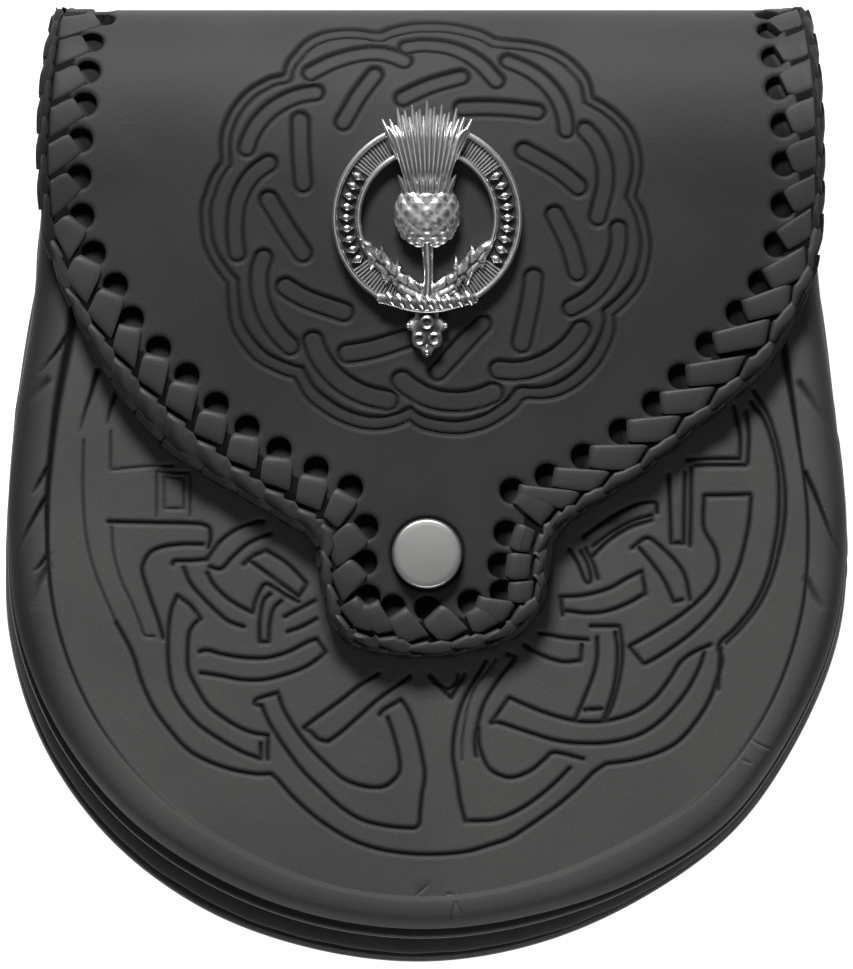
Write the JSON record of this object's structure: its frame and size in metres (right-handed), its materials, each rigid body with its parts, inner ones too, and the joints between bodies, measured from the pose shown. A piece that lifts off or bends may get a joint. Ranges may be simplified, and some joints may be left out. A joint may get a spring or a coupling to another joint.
{
  "type": "sporran pouch",
  "caption": "Leather sporran pouch with a moulded front, bulging gusset, laced fold-over flap held by a snap, cast thistle badge, and two strap loops on its back.",
  "frame": {"origin": "middle of the footprint of the pouch lying on its back, on the surface it lies on", "axes": "+X to the wearer's left seen from the front as the right-hand side, +Y up towards the fold of the flap, +Z out of the front"},
  "size_m": [0.1775, 0.2014, 0.0453],
  "materials": {
    "body_leather": "semi-matt smooth black hide",
    "front_leather": "semi-matt smooth black hide, tooled",
    "flap_leather": "semi-matt smooth black hide, tooled",
    "edge_leather": "burnished black edge",
    "lace": "satin black lace",
    "nickel": "satin nickel plate, lightly worn",
    "pewter": "polished pewter colour with dark antiqued recesses"
  },
  "bodies": {
    "root": {"back_panel": "body_leather", "back_rim": "edge_leather", "gusset": "body_leather", "front_welt": "edge_leather", "front_panel": "front_leather", "flap": "flap_leather", "edge_lacing": "lace", "snap_cap": "nickel", "snap_stud": "nickel", "badge": "pewter", "back_loop_left": "body_leather", "back_loop_right": "body_leather"}
  },
  "joints": []
}
